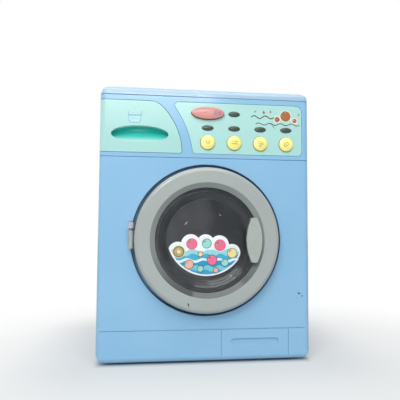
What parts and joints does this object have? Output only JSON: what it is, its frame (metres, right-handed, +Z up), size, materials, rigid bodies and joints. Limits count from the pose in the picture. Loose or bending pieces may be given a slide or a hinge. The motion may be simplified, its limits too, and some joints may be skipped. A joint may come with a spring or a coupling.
{
  "type": "toy washing machine",
  "caption": "Toy front-loading washing machine with a hinged round door, turning drum, sliding drawer, push buttons and a battery bay.",
  "frame": {"origin": "on the floor, under the centre of the toy's bounding box", "axes": "+X to the right seen from the front, +Y from the front to the rear, +Z up; the front face looks along -Y"},
  "size_m": [0.2, 0.1424, 0.257],
  "materials": {
    "body_blue": "glossy moulded ABS, light blue",
    "mint": "glossy moulded ABS, mint green",
    "button_coral": "glossy moulded plastic, coral",
    "button_yellow": "glossy moulded plastic, yellow",
    "lens_dark": "smoked lamp lens",
    "keypad_rubber": "moulded silicone rubber",
    "board_green": "coated circuit board",
    "led_red": "clear red epoxy",
    "inner_white": "plain moulded plastic",
    "door_grey": "satin moulded ABS, grey",
    "clear_window": "clear moulded polystyrene with a smoke tint",
    "sticker_film": "printed vinyl",
    "steel": "plated steel",
    "drum_silver": "silver painted plastic",
    "brass": "plain brass",
    "gear_ivory": "acetal, greased",
    "black_plastic": "plain moulded plastic",
    "battery_wrap": "shrink wrapped cell",
    "foot_rubber": "soft rubber",
    "wire_red": "insulated wire"
  },
  "bodies": {
    "housing": {"front_housing": "body_blue", "rear_housing": "body_blue", "top_cover": "body_blue", "control_fascia": "body_blue", "control_panel": "mint", "start_lamp_lens": "lens_dark", "program_lamp_lens_1": "lens_dark", "program_lamp_lens_2": "lens_dark", "program_lamp_lens_3": "lens_dark", "program_lamp_lens_4": "lens_dark", "keypad_mat": "keypad_rubber", "control_board": "board_green", "indicator_leds": "led_red", "drawer_guide": "inner_white", "hinge_bracket": "door_grey", "hinge_pin": "steel", "hinge_screws": "steel", "idler_axle": "steel", "motor_can": "steel", "housing_screws": "steel", "tub_screws": "steel", "board_screws": "steel", "gear_plate_screws": "steel", "motor_screws": "steel", "speaker_screws": "steel", "tub": "inner_white", "gear_plate": "inner_white", "speaker_ring": "inner_white", "drum_bush": "brass", "battery_contacts": "brass", "battery_box": "black_plastic", "power_switch_body": "black_plastic", "speaker": "black_plastic", "battery_cells": "battery_wrap", "feet": "foot_rubber", "wiring": "wire_red"},
    "door": {"door_ring": "door_grey", "door_back_ring": "door_grey", "door_window": "clear_window", "door_handle": "door_grey", "door_latch": "door_grey", "door_sticker": "sticker_film", "door_screws": "steel"},
    "drum": {"drum": "drum_silver", "drum_shaft": "steel", "drum_gear": "gear_ivory"},
    "idler": {"idler_gear": "gear_ivory"},
    "rotor": {"motor_pinion": "brass", "motor_shaft": "steel"},
    "drawer": {"detergent_drawer": "mint"},
    "start_key": {"start_button": "button_coral"},
    "program_key_1": {"program_button_1": "button_yellow"},
    "program_key_2": {"program_button_2": "button_yellow"},
    "program_key_3": {"program_button_3": "button_yellow"},
    "program_key_4": {"program_button_4": "button_yellow"},
    "battery_lid": {"battery_cover": "body_blue", "battery_cover_screws": "steel"},
    "switch_slider": {"power_switch_slider": "black_plastic"}
  },
  "joints": [
    {"name": "door_hinge", "type": "hinge", "parent": "housing", "child": "door", "pos_m": [-0.0697, -0.06275, 0.114], "axis": [0, 0, -1], "range_deg": [0, 120]},
    {"name": "drum_spin", "type": "hinge", "parent": "housing", "child": "drum", "pos_m": [0.0004, -0.01575, 0.114], "axis": [0, 1, 0], "continuous": true},
    {"name": "idler_spin", "type": "hinge", "parent": "housing", "child": "idler", "pos_m": [0.01968, 0.02725, 0.09102], "axis": [0, 1, 0], "continuous": true},
    {"name": "rotor_spin", "type": "hinge", "parent": "housing", "child": "rotor", "pos_m": [0.04224, 0.03125, 0.08281], "axis": [0, 1, 0], "continuous": true},
    {"name": "drawer_slide", "type": "slide", "parent": "housing", "child": "drawer", "axis": [0, -1, 0], "range_m": [0, 0.03]},
    {"name": "start_button_press", "type": "slide", "parent": "housing", "child": "start_key", "axis": [0, 1, 0], "range_m": [0, 0.0015], "stiffness_N_per_m": 150},
    {"name": "program_button_1_press", "type": "slide", "parent": "housing", "child": "program_key_1", "axis": [0, 1, 0], "range_m": [0, 0.0015], "stiffness_N_per_m": 150},
    {"name": "program_button_2_press", "type": "slide", "parent": "housing", "child": "program_key_2", "axis": [0, 1, 0], "range_m": [0, 0.0015], "stiffness_N_per_m": 150},
    {"name": "program_button_3_press", "type": "slide", "parent": "housing", "child": "program_key_3", "axis": [0, 1, 0], "range_m": [0, 0.0015], "stiffness_N_per_m": 150},
    {"name": "program_button_4_press", "type": "slide", "parent": "housing", "child": "program_key_4", "axis": [0, 1, 0], "range_m": [0, 0.0015], "stiffness_N_per_m": 150},
    {"name": "battery_cover_lift", "type": "slide", "parent": "housing", "child": "battery_lid", "axis": [0, 1, 0], "range_m": [0, 0.02]},
    {"name": "power_switch_slide", "type": "slide", "parent": "housing", "child": "switch_slider", "axis": [1, 0, 0], "range_m": [0, 0.004]}
  ],
  "couplings": [
    {"joint": "idler_spin", "follows": "drum_spin", "ratio": -4},
    {"joint": "rotor_spin", "follows": "drum_spin", "ratio": 12}
  ]
}
